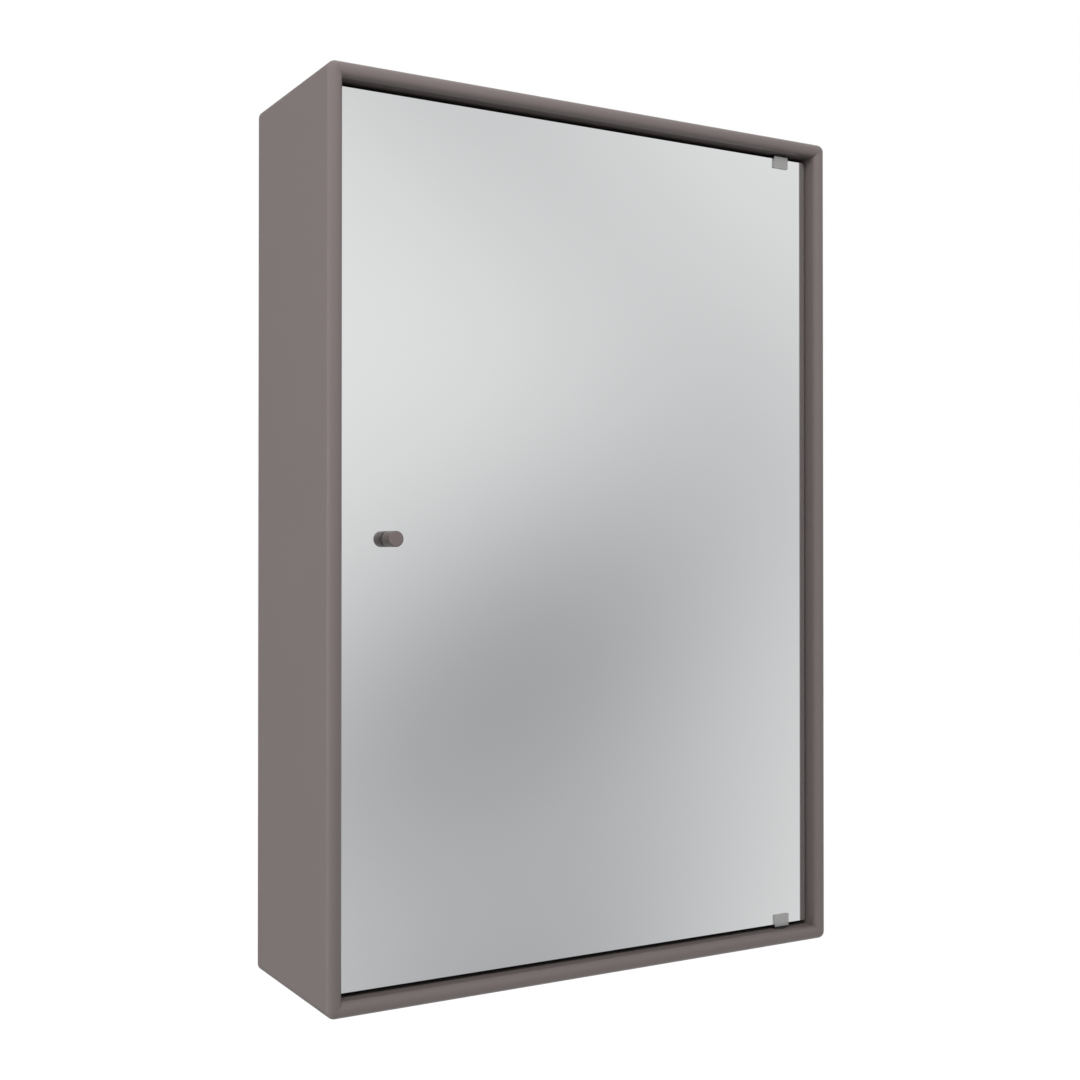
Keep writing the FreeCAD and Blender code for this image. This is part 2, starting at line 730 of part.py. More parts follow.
knob = doc.addObject("PartDesign::Body", "door_knob")
knob_outline = new_sketch(knob, "XZ_Plane", "door_knob_outline")
circle(knob_outline, "0", "0", "knob_radius")
pad(knob, knob_outline, "knob_length")
dress(knob, "Chamfer", "Size", "knob_rim", lambda edge: all_at(edge, "Y", "-knob_length"))
knob_thread = new_sketch(knob, "XZ_Plane", "door_knob_thread")
circle(knob_thread, "0", "0", "knob_screw_radius")
pocket(knob, knob_thread, KNOB_THREAD, reverse=True)
KNOB_BASE = f"({GLASS_FRONT} - washer_thickness)"
place(knob, x=KNOB_X, y=KNOB_BASE, z=MIDDLE)
node(knob, "door_knob")

SCREW_SEAT = f"({DOOR_REAR} + washer_thickness)"
knob_shank = bar(
    "knob_screw_shank",
    "knob_screw_radius",
    f"{SCREW_SEAT} - {KNOB_BASE} + {KNOB_THREAD} - knob_screw_play",
    KNOB_X,
    SCREW_SEAT,
    MIDDLE,
    TOWARDS_FRONT,
)
knob_head = bar(
    "knob_screw_head", "knob_screw_head_radius", "knob_screw_head_height", KNOB_X, SCREW_SEAT, MIDDLE, ALONG_Y
)
knob_socket = hexagon(
    "knob_screw_socket",
    "knob_socket_radius",
    "knob_socket_depth",
    KNOB_X,
    f"{SCREW_SEAT} + knob_screw_head_height - knob_socket_depth",
    MIDDLE,
    ALONG_Y,
)
knob_screw = cut("knob_screw", fuse("knob_screw_solid", knob_shank, knob_head), knob_socket)
node(knob_screw, "knob_screw")

seat_washer = ring(
    "knob_seat_washer",
    "seat_washer_radius",
    "knob_screw_radius + sleeve_play",
    "washer_thickness",
    KNOB_X,
    KNOB_BASE,
    MIDDLE,
    ALONG_Y,
)
rear_washer = ring(
    "knob_rear_washer",
    "rear_washer_radius",
    "knob_screw_radius + sleeve_play",
    "washer_thickness",
    KNOB_X,
    DOOR_REAR,
    MIDDLE,
    ALONG_Y,
)
node(gather("knob_washers", [seat_washer, rear_washer]), "knob_washers")
sleeve = ring(
    "knob_sleeve",
    "glass_hole_radius - sleeve_play",
    "knob_screw_radius + sleeve_play",
    "glass_thickness + backing_thickness",
    KNOB_X,
    GLASS_FRONT,
    MIDDLE,
    ALONG_Y,
)
node(sleeve, "knob_sleeve")

# Pivot hinges. Each piece is made for the top of the door and turned over for the bottom.

GLASS_TOP = f"({MIDDLE} + {GLASS_HEIGHT}/2)"
GLASS_FOOT = f"({MIDDLE} - {GLASS_HEIGHT}/2)"
DOOR_ENDS = {"upper": (GLASS_TOP, CEILING, Rotation()), "lower": (GLASS_FOOT, FLOOR, UPSIDE_DOWN)}


def make_clamp(end, edge_level, rotation):
    """A U-shaped clamp over the glass edge: front plate, bridge and a thicker rear plate."""
    label = f"{end}_hinge_clamp"
    bridge_top = f"(edge_play + {BRIDGE})"
    body = doc.addObject("PartDesign::Body", label)
    profile = new_sketch(body, "YZ_Plane", f"{label}_profile")
    polygon(
        profile,
        [
            (CLAMP_FRONT, "-clamp_overlap"),
            (CLAMP_FRONT, bridge_top),
            (CLAMP_REAR, bridge_top),
            (CLAMP_REAR, "-clamp_overlap"),
            (CLAMP_GRIP, "-clamp_overlap"),
            (CLAMP_GRIP, "edge_play"),
            (PAD_FRONT, "edge_play"),
            (PAD_FRONT, "-clamp_overlap"),
        ],
    )
    pad(body, profile, "clamp_width", both_ways=True)
    dress(body, "Fillet", "Radius", "clamp_rounding", lambda edge: all_at(edge, "Y", CLAMP_FRONT))
    pin_hole = new_sketch(body, "XY_Plane", f"{label}_pin_hole", bridge_top)
    circle(pin_hole, "0", "0", "pin_radius")
    pocket(body, pin_hole, BRIDGE)
    grub_hole = new_sketch(body, "XZ_Plane", f"{label}_grub_hole", f"-{CLAMP_REAR}")
    circle(grub_hole, "0", f"-{GRUB_LEVEL}", "grub_radius")
    pocket(body, grub_hole, "rear_plate", reverse=True)
    place(body, PIVOT_X, PIVOT_Y, edge_level, rotation)
    return node(body, label)


def make_pin(end, edge_level, rotation):
    """A pin pressed into the clamp's bridge, reaching into the bush in the panel."""
    label = f"{end}_pivot_pin"
    length = f"(door_end_gap - edge_play + {PIN_REACH})"
    body = doc.addObject("PartDesign::Body", label)
    section = new_sketch(body, "XY_Plane", f"{label}_section", "edge_play")
    circle(section, "0", "0", "pin_radius")
    pad(body, section, length)
    tip = f"edge_play + {length}"
    dress(body, "Chamfer", "Size", "pin_chamfer", lambda edge: all_at(edge, "Z", tip))
    place(body, PIVOT_X, PIVOT_Y, edge_level, rotation)
    return node(body, label)


def make_bush(end, panel_level, rotation):
    """A flanged bush pressed into the panel, closed at its far end."""
    label = f"{end}_pivot_bush"
    body = doc.addObject("PartDesign::Body", label)
    profile = new_sketch(body, "XZ_Plane", f"{label}_profile")
    polygon(
        profile,
        [
            (BUSH_BORE, "-flange_thickness"),
            (FLANGE_RADIUS, "-flange_thickness"),
            (FLANGE_RADIUS, "0"),
            (BUSH_RADIUS, "0"),
            (BUSH_RADIUS, BUSH_DEPTH),
            ("0", BUSH_DEPTH),
            ("0", f"{BUSH_DEPTH} - bush_floor"),
            (BUSH_BORE, f"{BUSH_DEPTH} - bush_floor"),
        ],
    )
    turned = body.newObject("PartDesign::Revolution", f"{label}_turned")
    turned.Profile = profile
    turned.ReferenceAxis = (profile, ["V_Axis"])
    turned.Angle = 360
    place(body, PIVOT_X, PIVOT_Y, panel_level, rotation)
    return node(body, label)


def make_pads(end, edge_level):
    """Soft pads between the clamp's plates and the door."""
    inward = "-" if end == "upper" else "+"
    far = f"({edge_level} {inward} clamp_overlap)"
    low, high = (far, edge_level) if end == "upper" else (edge_level, far)
    left = f"({PIVOT_X} - clamp_width/2)"
    right = f"({PIVOT_X} + clamp_width/2)"
    front = f"({PIVOT_Y} + {PAD_FRONT})"
    rear = f"({PIVOT_Y} + {PAD_REAR})"
    front_pad = box(f"{end}_front_pad", left, right, front, f"({front} + pad_thickness)", low, high)
    rear_pad = box(f"{end}_rear_pad", left, right, f"({rear} - pad_thickness)", rear, low, high)
    return [front_pad, rear_pad]


def make_grub_screw(end, edge_level):
    """A socket screw in the rear plate that presses the pad against the door."""
    inward = "-" if end == "upper" else "+"
    level = f"({edge_level} {inward} {GRUB_LEVEL})"
    start = f"({PIVOT_Y} + {PAD_REAR})"
    length = "(grip_play + rear_plate)"
    name = f"{end}_grub"
    body = bar(f"{name}_body", "grub_radius", length, PIVOT_X, start, level, ALONG_Y)
    depth = "grub_socket_depth"
    mouth = f"({start} + {length} - {depth})"
    socket = hexagon(f"{name}_socket", "grub_socket_radius", depth, PIVOT_X, mouth, level, ALONG_Y)
    return cut(name, body, socket)


pads = []
grub_screws = []
for end, (edge_level, panel_level, rotation) in DOOR_ENDS.items():
    make_clamp(end, edge_level, rotation)
    make_pin(end, edge_level, rotation)
    make_bush(end, panel_level, rotation)
    pads += make_pads(end, edge_level)
    grub_screws.append(make_grub_screw(end, edge_level))
node(gather("clamp_pads", pads), "clamp_pads")
node(gather("hinge_grub_screws", grub_screws), "hinge_grub_screws")

# Magnetic catch on the left side panel and the strike plate on the door

housing = doc.addObject("PartDesign::Body", "catch_housing")
ears = new_sketch(housing, "YZ_Plane", "catch_ears")
EAR_END = f"({CATCH_HEIGHT}/2 + ear_length)"
rectangle(ears, "0", CATCH_DEPTH, f"-{EAR_END}", EAR_END)
pad(housing, ears, "ear_thickness")
block = new_sketch(housing, "YZ_Plane", "catch_block")
rectangle(block, "0", CATCH_DEPTH, f"-{CATCH_HEIGHT}/2", f"{CATCH_HEIGHT}/2")
pad(housing, block, "catch_width")
CAVITY_HALF = "(magnet_thickness/2 + pole_thickness + joint_play)"
cavity = new_sketch(housing, "XZ_Plane", "catch_cavity")
rectangle(
    cavity,
    f"{CATCH_CENTRE} - {CAVITY_HALF}",
    f"{CATCH_CENTRE} + {CAVITY_HALF}",
    "-magnet_height/2 - joint_play",
    "magnet_height/2 + joint_play",
)
pocket(housing, cavity, CAVITY_DEPTH)
ear_slots = new_sketch(housing, "YZ_Plane", "catch_ear_slots", "ear_thickness")
EAR_SLOT_WIDTH = "(2*(catch_screw_radius + ear_slot_play))"
for sign in (-1, 1):
    slot(ear_slots, f"{CATCH_DEPTH}/2", f"{sign}*{CATCH_SCREW_LEVEL}", "ear_slot_length", EAR_SLOT_WIDTH)
pocket(housing, ear_slots, "ear_thickness")
place(housing, x=LEFT_FACE, y=CATCH_FRONT, z=MIDDLE)
node(housing, "catch_housing")

MAGNET_X = f"({LEFT_FACE} + {CATCH_CENTRE})"
CAVITY_END = f"({CATCH_FRONT} + {CAVITY_DEPTH})"
MAGNET_LOW = f"({MIDDLE} - magnet_height/2)"
MAGNET_HIGH = f"({MIDDLE} + magnet_height/2)"
magnet = box(
    "catch_magnet",
    f"({MAGNET_X} - magnet_thickness/2)",
    f"({MAGNET_X} + magnet_thickness/2)",
    f"({CATCH_FRONT} + magnet_setback)",
    CAVITY_END,
    MAGNET_LOW,
    MAGNET_HIGH,
)
node(magnet, "catch_magnet")
poles = []
for name, inner in (("left", "-magnet_thickness/2 - pole_thickness"), ("right", "magnet_thickness/2")):
    near = f"({MAGNET_X} + ({inner}))"
    far = f"({near} + pole_thickness)"
    poles.append(box(f"catch_pole_{name}", near, far, POLE_FRONT, CAVITY_END, MAGNET_LOW, MAGNET_HIGH))
node(gather("catch_pole_plates", poles), "catch_pole_plates")


def make_catch_screw(number, sign):
    """A pan-head screw through an ear of the catch into the side panel."""
    level = f"({MIDDLE} + {sign}*{CATCH_SCREW_LEVEL})"
    tip = f"({LEFT_FACE} - {CATCH_SCREW_BITE})"
    seat = f"({LEFT_FACE} + ear_thickness)"
    shank = bar(
        f"catch_screw_shank_{number}",
        "catch_screw_radius",
        f"{seat} - {tip}",
        tip,
        CATCH_SCREW_DEPTH,
        level,
        ALONG_X,
    )
    head = bar(
        f"catch_screw_head_{number}",
        "catch_screw_head_radius",
        "catch_screw_head_height",
        seat,
        CATCH_SCREW_DEPTH,
        level,
        ALONG_X,
    )
    return fuse(f"catch_screw_{number}", shank, head)


catch_screws = [make_catch_screw(*numbered) for numbered in enumerate((-1, 1), start=1)]
node(gather("catch_screws", catch_screws), "catch_screws")

STRIKE_LEFT = f"({MAGNET_X} - strike_width/2)"
STRIKE_RIGHT = f"({MAGNET_X} + strike_width/2)"
STRIKE_LOW = f"({MIDDLE} - strike_height/2)"
STRIKE_HIGH = f"({MIDDLE} + strike_height/2)"
STRIKE_FRONT = f"({DOOR_REAR} + adhesive_thickness)"
adhesive = box("strike_adhesive", STRIKE_LEFT, STRIKE_RIGHT, DOOR_REAR, STRIKE_FRONT, STRIKE_LOW, STRIKE_HIGH)
node(adhesive, "strike_adhesive")
strike = box("strike_plate", STRIKE_LEFT, STRIKE_RIGHT, STRIKE_FRONT, STRIKE_REAR, STRIKE_LOW, STRIKE_HIGH)
node(strike, "strike_plate")

# Glass shelves on moulded supports, each with a stud in the side panel


def make_shelf(end, level):
    label = f"{end}_shelf"
    half_width = f"({INNER_WIDTH}/2 - shelf_side_play)"
    body = doc.addObject("PartDesign::Body", label)
    outline = new_sketch(body, "XY_Plane", f"{label}_outline")
    rectangle(outline, f"-{half_width}", half_width, SHELF_FRONT, SHELF_REAR)
    pad(body, outline, "shelf_thickness")

    def long_edge(edge):
        return all_at(edge, "Z", "0") or all_at(edge, "Z", "shelf_thickness")

    dress(body, "Chamfer", "Size", "shelf_arris", long_edge)
    place(body, z=f"{FLOOR} + {level}")
    return node(body, label)


def make_support(name, side, depth, level):
    """A bracket with a level top and a sloping underside; side is -1 left or 1 right."""
    body = doc.addObject("PartDesign::Body", name)
    profile = new_sketch(body, "XZ_Plane", f"{name}_profile")
    polygon(
        profile,
        [
            ("0", "0"),
            ("0", "-support_drop"),
            ("support_foot", "-support_drop"),
            ("support_reach", "-support_tip"),
            ("support_reach", "0"),
        ],
    )
    pad(body, profile, "support_width", both_ways=True)
    stud = new_sketch(body, "YZ_Plane", f"{name}_stud", f"-{STUD_LENGTH}")
    circle(stud, "0", "-support_drop/2", "stud_radius")
    pad(body, stud, STUD_LENGTH)
    inward = Rotation() if side < 0 else Rotation(Vector(0, 0, 1), 180)
    place(body, f"{side}*{INNER_WIDTH}/2", depth, f"{FLOOR} + {level}", inward)
    return body


supports = []
for end, level in SHELF_LEVELS.items():
    make_shelf(end, level)
    for side, side_name in ((-1, "left"), (1, "right")):
        for depth_name, depth in SUPPORT_PLACES.items():
            supports.append(make_support(f"{end}_{side_name}_{depth_name}_support", side, depth, level))
node(gather("shelf_supports", supports), "shelf_supports")

# Check every object, then write each sub-part to its file

doc.recompute()
for item in doc.Objects:
    if {"Invalid", "Error"} & set(item.State):
        raise RuntimeError(f"{item.Name} failed: {item.State}")
for item in nodes:
    if item.Shape.isNull() or not item.Shape.isValid():
        raise RuntimeError(f"{item.Label} has no valid shape")

os.makedirs("parts", exist_ok=True)
for item in nodes:
    item.Shape.exportStep(f"parts/{item.Label}.step")
print(f"{len(nodes)} sub-parts written")
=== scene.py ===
"""Looks of the mirror cabinet: its finishes, the small hardware in detail, the stage, light and camera."""

import math

import bmesh
import bpy
from mathutils import Matrix, Vector


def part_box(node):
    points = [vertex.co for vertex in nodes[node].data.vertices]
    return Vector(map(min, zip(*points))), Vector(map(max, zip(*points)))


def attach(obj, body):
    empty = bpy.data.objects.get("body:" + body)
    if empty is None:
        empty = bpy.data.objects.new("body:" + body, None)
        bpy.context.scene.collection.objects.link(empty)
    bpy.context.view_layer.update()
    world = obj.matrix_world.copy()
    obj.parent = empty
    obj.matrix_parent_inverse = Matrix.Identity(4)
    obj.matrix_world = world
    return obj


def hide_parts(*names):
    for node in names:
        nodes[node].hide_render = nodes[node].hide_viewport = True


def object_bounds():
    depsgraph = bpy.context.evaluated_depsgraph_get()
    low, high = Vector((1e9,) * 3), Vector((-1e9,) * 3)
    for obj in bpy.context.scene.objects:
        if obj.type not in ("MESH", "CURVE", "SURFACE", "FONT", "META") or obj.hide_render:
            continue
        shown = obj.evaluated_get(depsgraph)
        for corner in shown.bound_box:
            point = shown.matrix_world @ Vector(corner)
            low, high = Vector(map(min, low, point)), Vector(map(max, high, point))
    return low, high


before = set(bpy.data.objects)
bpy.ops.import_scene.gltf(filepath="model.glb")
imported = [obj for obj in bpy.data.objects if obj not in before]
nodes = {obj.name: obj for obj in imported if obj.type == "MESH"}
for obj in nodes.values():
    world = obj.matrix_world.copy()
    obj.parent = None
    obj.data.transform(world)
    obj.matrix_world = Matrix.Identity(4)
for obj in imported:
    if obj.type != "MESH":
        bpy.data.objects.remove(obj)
cad_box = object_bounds()
MM = 0.001
UP = Vector((0, 0, 1))
TO_WALL = Vector((0, 1, 0))
TO_FRONT = Vector((0, -1, 0))
TO_RIGHT = Vector((1, 0, 0))
WHITE = (1, 1, 1, 1)


# Shader maths

class Wire:
    """An output of a shader node. Sums of wires and numbers add Math nodes."""

    def __init__(self, finish, socket):
        self.finish = finish
        self.socket = socket

    def math(self, operation, first, second=0.0):
        return self.finish.node("ShaderNodeMath", {"operation": operation}, {0: first, 1: second})

    def __add__(self, other):
        return self.math("ADD", self, other)

    def __radd__(self, other):
        return self.math("ADD", other, self)

    def __sub__(self, other):
        return self.math("SUBTRACT", self, other)

    def __rsub__(self, other):
        return self.math("SUBTRACT", other, self)

    def __mul__(self, other):
        return self.math("MULTIPLY", self, other)

    def __rmul__(self, other):
        return self.math("MULTIPLY", other, self)

    def __rpow__(self, other):
        return self.math("POWER", other, self)

    def __lt__(self, other):
        return self.math("LESS_THAN", self, other)

    def __or__(self, other):
        """The larger of the two."""
        return self.math("MAXIMUM", self, other)

    def __abs__(self):
        return self.math("ABSOLUTE", self)


class Finish:
    """The nodes of one finish, or of the surround."""

    def __init__(self, owner):
        owner.use_nodes = True
        self.owner = owner
        self.tree = owner.node_tree
        self.tree.nodes.clear()

    def node(self, kind, settings=None, sockets=None, output=0):
        """Adds a node: its settings first, then the values or wires of its sockets."""
        made = self.tree.nodes.new(kind)
        for name, value in (settings or {}).items():
            setattr(made, name, value)
        for name, value in (sockets or {}).items():
            if isinstance(value, Wire):
                self.tree.links.new(value.socket, made.inputs[name])
            else:
                made.inputs[name].default_value = value
        return Wire(self, made.outputs[output]) if len(made.outputs) else None

    def place(self, stretch):
        """The place on the piece in metres, times a stretch along each axis."""
        place = self.node("ShaderNodeTexCoord", output="Object")
        return self.node("ShaderNodeVectorMath", {"operation": "MULTIPLY"}, {0: place, 1: stretch})

    def axis(self, name):
        """The place on the piece along one axis, in metres."""
        place = self.node("ShaderNodeTexCoord", output="Object")
        return self.node("ShaderNodeSeparateXYZ", None, {0: place}, name)

    def facing(self, name):
        """How far the surface faces along one axis, from -1 to 1."""
        normal = self.node("ShaderNodeTexCoord", output="Normal")
        return self.node("ShaderNodeSeparateXYZ", None, {0: normal}, name)

    def clouds(self, size, detail=2.0, stretch=(1, 1, 1)):
        """Soft noise from 0 to 1 with features of about that size in metres."""
        place = self.place([share / size for share in stretch])
        return self.node("ShaderNodeTexNoise", None, {"Vector": place, "Scale": 1.0, "Detail": detail})

    def cells(self, size, stretch=(1, 1, 1)):
        """A random tone for each cell of about that size in metres."""
        place = self.place([share / size for share in stretch])
        colour = self.node("ShaderNodeTexVoronoi", None, {"Vector": place, "Scale": 1.0}, "Color")
        return self.node("ShaderNodeSeparateColor", None, {0: colour})

    def step(self, value, start, end):
        """A smooth rise from 0 at start to 1 at end."""
        return self.node(
            "ShaderNodeMapRange",
            {"interpolation_type": "SMOOTHSTEP"},
            {"Value": value, "From Min": start, "From Max": end},
        )

    def mix(self, mask, under, over):
        """One colour over another."""
        sockets = {0: mask, 6: opaque(under), 7: opaque(over)}
        return self.node("ShaderNodeMix", {"data_type": "RGBA"}, sockets, 2)

    def tint(self, colour, mask, spread):
        """A colour made darker and lighter by a share, following a mask."""
        return self.mix(mask, [c * (1 - spread) for c in colour], [c * (1 + spread) for c in colour])

    def bump(self, height, depth):
        """A relief of that depth in metres."""
        return self.node("ShaderNodeBump", None, {"Strength": 1.0, "Distance": depth, "Height": height})

    def coat(self, sockets):
        """Ends the finish in a surface shader with these sockets."""
        shader = self.node("ShaderNodeBsdfPrincipled", None, sockets)
        self.node("ShaderNodeOutputMaterial", None, {"Surface": shader})
        return self.owner


def opaque(colour):
    return colour if isinstance(colour, Wire) else (*colour, 1.0)


def new_finish(name):
    return Finish(bpy.data.materials.new(name))


# Finishes

def lacquer(name, colour, grain, gloss):
    """Sprayed satin lacquer: a nearly even colour over a faint orange peel."""
    paint = new_finish(name)
    drift = paint.clouds(90 * MM, detail=3.0)
    speckle = paint.clouds(0.35 * grain, detail=1.0)
    peel = paint.clouds(1.6 * grain)
    return paint.coat({
        "Base Color": paint.tint(colour, 0.7 * drift + 0.3 * speckle, spread=0.035),
        "Roughness": 0.30 + 0.06 * paint.clouds(25 * MM),
        "Specular IOR Level": gloss,
        "Normal": paint.bump(peel + 0.25 * speckle, depth=0.012 * MM),
    })


def plywood(name, colour):
    """Plywood: thin plies and fibres that run along the strip."""
    wood = new_finish(name)
    fibres = wood.clouds(1.2 * MM, detail=4.0, stretch=(1, 0.06, 1))
    plies = wood.cells(1.0 * MM, stretch=(1, 0.01, 1))
    tone = 0.6 * fibres + 0.4 * plies
    return wood.coat({
        "Base Color": wood.mix(tone, [c * 0.7 for c in colour], [c * 1.15 for c in colour]),
        "Roughness": 0.62 + 0.15 * fibres,
        "Normal": wood.bump(fibres, depth=0.05 * MM),
    })


def zinc_plate(name, colour, grain):
    """Zinc plating: a fine crystal pattern, cloudy gloss and drawn lines."""
    metal = new_finish(name)
    crystals = metal.cells(grain)
    haze = metal.clouds(6 * grain, detail=3.0)
    lines = metal.clouds(0.25 * grain, stretch=(0.03, 1, 1))
    return metal.coat({
        "Base Color": metal.tint(colour, 0.45 * crystals + 0.35 * haze + 0.2 * lines, spread=0.16),
        "Metallic": 1.0,
        "Roughness": 0.24 + 0.14 * crystals + 0.12 * haze,
        "Normal": metal.bump(lines + 0.3 * crystals, depth=0.01 * MM),
    })


def satin_nickel(name, colour):
    """Satin plating, finely brushed across the clamp."""
    metal = new_finish(name)
    brushed = metal.clouds(0.12 * MM, detail=3.0, stretch=(0.04, 1, 1))
    haze = metal.clouds(4 * MM)
    return metal.coat({
        "Base Color": metal.tint(colour, 0.6 * brushed + 0.4 * haze, spread=0.06),
        "Metallic": 1.0,
        "Roughness": 0.30 + 0.12 * brushed,
        "Normal": metal.bump(brushed, depth=0.006 * MM),
    })


def ground_steel(name, colour):
    """Bright pin steel with the fine rings that grinding leaves."""
    metal = new_finish(name)
    rings = metal.clouds(0.15 * MM, stretch=(0.05, 0.05, 1))
    return metal.coat({
        "Base Color": metal.tint(colour, rings, spread=0.08),
        "Metallic": 1.0,
        "Roughness": 0.16 + 0.12 * rings,
        "Normal": metal.bump(rings, depth=0.004 * MM),
    })


def silvered_glass(name, silver, edge):
    """Mirror: silver over the whole front; green-grey glass at the ground edges and in the hole, darkened as
    painted shade.
    """
    glass_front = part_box("mirror_glass")[0].y
    front_depth = 0.02 * MM
    pane = new_finish(name)
    silvered = pane.axis("Y") < glass_front + front_depth
    ground = pane.clouds(0.5 * MM, detail=3.0)
    smear = pane.clouds(60 * MM, detail=3.0)
    # The glass at the ground edges and in the hole is darkened to near black: painted shade for the gaps
    # around the mirror.
    edge_tone_with_painted_shade = pane.tint(edge, ground, spread=0.15)
    silver_tone = pane.tint(silver, smear, spread=0.004)
    return pane.coat({
        "Base Color": pane.mix(silvered, edge_tone_with_painted_shade, silver_tone),
        "Metallic": silvered,
        "Roughness": silvered * (0.004 + 0.008 * smear) + (1 - silvered) * (0.28 + 0.2 * ground),
    })


def safety_film(name, colour):
    """Film on the back of the mirror: a pressed diamond pattern with soft ripples."""
    film = new_finish(name)
    pitch = 3 * MM
    groove = 0.35
    along = film.axis("X")
    up = film.axis("Z")
    falling = film.node("ShaderNodeMath", {"operation": "PINGPONG"}, {0: along + up, 1: pitch})
    rising = film.node("ShaderNodeMath", {"operation": "PINGPONG"}, {0: along - up, 1: pitch})
    diamonds = film.step(falling * (1 / pitch), 0.0, groove) * film.step(rising * (1 / pitch), 0.0, groove)
    ripples = film.clouds(45 * MM, detail=3.0)
    return film.coat({
        "Base Color": film.tint(colour, 0.6 * diamonds + 0.4 * ripples, spread=0.09),
        "Roughness": 0.50 - 0.10 * diamonds + 0.08 * ripples,
        "Normal": film.bump(diamonds + 1.5 * ripples, depth=0.05 * MM),
    })


def moulded(name, colour, gloss, texture):
    """Moulded plastic with an eroded texture and a slightly uneven tone."""
    plastic = new_finish(name)
    pits = plastic.clouds(texture, detail=3.0)
    flow = plastic.clouds(9 * MM, stretch=(1, 1, 0.4))
    return plastic.coat({
        "Base Color": plastic.tint(colour, 0.35 * pits + 0.65 * flow, spread=0.05),
        "Roughness": gloss + 0.12 * pits,
        "Specular IOR Level": 0.45,
        "Normal": plastic.bump(pits, depth=0.02 * MM),
    })


def soft_clear_plastic(name, colour):
    """Soft plastic with a milky, slightly cloudy body."""
    plastic = new_finish(name)
    cloudy = plastic.clouds(2.5 * MM, detail=3.0)
    skin = plastic.clouds(0.2 * MM)
    return plastic.coat({
        "Base Color": plastic.tint(colour, cloudy, spread=0.06),
        "Roughness": 0.42 + 0.15 * skin,
        "Transmission Weight": 0.25,
        "IOR": 1.49,
        "Normal": plastic.bump(skin, depth=0.01 * MM),
    })


def ferrite(name, colour):
    """Pressed ferrite: dark, grainy and dull."""
    magnet = new_finish(name)
    grains = magnet.cells(0.25 * MM)
    return magnet.coat({
        "Base Color": magnet.tint(colour, grains, spread=0.35),
        "Roughness": 0.55 + 0.2 * grains,
        "Normal": magnet.bump(grains, depth=0.03 * MM),
    })


def foam_tape(name, colour):
    """White foam tape with small open cells."""
    tape = new_finish(name)
    cells = tape.cells(0.3 * MM)
    return tape.coat({
        "Base Color": tape.tint(colour, cells, spread=0.08),
        "Roughness": 0.75 + 0.15 * cells,
        "Normal": tape.bump(cells, depth=0.04 * MM),
    })


def float_glass(name, body, edge):
    """Clear shelf glass that turns green where one looks into its polished edges."""
    glass = new_finish(name)
    flat = glass.step(abs(glass.facing("Z")), 0.5, 0.9)
    smear = glass.clouds(35 * MM, detail=3.0)
    return glass.coat({
        "Base Color": glass.mix(flat, edge, body),
        "Roughness": 0.002 + 0.02 * smear * flat,
        "Transmission Weight": 1.0,
        "IOR": 1.52,
    })


def clear_plastic(name, colour):
    """Clear moulded plastic with faint flow lines."""
    plastic = new_finish(name)
    flow = plastic.clouds(3 * MM, detail=3.0, stretch=(1, 1, 0.3))
    return plastic.coat({
        "Base Color": plastic.tint(colour, flow, spread=0.04),
        "Roughness": 0.08 + 0.14 * flow,
        "Transmission Weight": 0.75,
        "IOR": 1.58,
        "Normal": plastic.bump(flow, depth=0.03 * MM),
    })


TAUPE = (0.205, 0.172, 0.168)
finishes = {
    "carcass_lacquer": lacquer("satin_taupe_lacquer", TAUPE, grain=1.0 * MM, gloss=0.24),
    "knob_lacquer": lacquer("satin_taupe_knob_lacquer", TAUPE, grain=0.5 * MM, gloss=0.09),
    "tongue_wood": plywood("beech_plywood", (0.52, 0.36, 0.21)),
    "rail_steel": zinc_plate("zinc_plated_sheet", (0.56, 0.57, 0.58), grain=1.8 * MM),
    "screw_steel": zinc_plate("zinc_plated_screw", (0.5, 0.5, 0.51), grain=0.5 * MM),
    "pole_steel": zinc_plate("zinc_plated_plate", (0.58, 0.58, 0.59), grain=0.9 * MM),
    # The mirror's edge colour is near black as painted shade for the gaps around it, not the glass's own tone.
    "mirror": silvered_glass("silvered_glass", silver=(0.94, 0.957, 0.957), edge=(0.06, 0.09, 0.08)),
    "mirror_film": safety_film("grey_safety_film", (0.42, 0.43, 0.44)),
    "soft_plastic": soft_clear_plastic("milky_soft_plastic", (0.78, 0.78, 0.76)),
    "hinge_metal": satin_nickel("satin_nickel", (0.46, 0.455, 0.45)),
    "pin_steel": ground_steel("bright_pin_steel", (0.55, 0.55, 0.55)),
    # The bushes are coloured near black as painted shade, so that they read as the dark gap by the clamps.
    "bush_plastic": moulded("acetal_dark_as_painted_shade", (0.03, 0.03, 0.032), gloss=0.30, texture=0.2 * MM),
    "catch_plastic": moulded("light_grey_moulding", (0.7, 0.7, 0.69), gloss=0.42, texture=0.3 * MM),
    "magnet": ferrite("dark_ferrite", (0.06, 0.06, 0.06)),
    "adhesive": foam_tape("white_foam_tape", (0.85, 0.85, 0.83)),
    "shelf_glass": float_glass("clear_float_glass", body=(0.95, 0.985, 0.97), edge=(0.45, 0.78, 0.66)),
    "support_plastic": clear_plastic("clear_moulded_plastic", (0.86, 0.87, 0.87)),
}
for node_object in nodes.values():
    for slot in node_object.material_slots:
        slot.material = finishes[slot.material.name]


# Mesh tools

SHARP_ANGLE = math.radians(32)


def smooth(made):
    """Makes a mesh smooth except at its sharp edges."""
    made.shade_smooth()
    made.set_sharp_from_angle(angle=SHARP_ANGLE)
    return made


def mesh_of(name, shape):
    """A mesh from a bmesh, which is used up."""
    bmesh.ops.recalc_face_normals(shape, faces=shape.faces)
    made = bpy.data.meshes.new(name)
    shape.to_mesh(made)
    shape.free()
    return smooth(made)


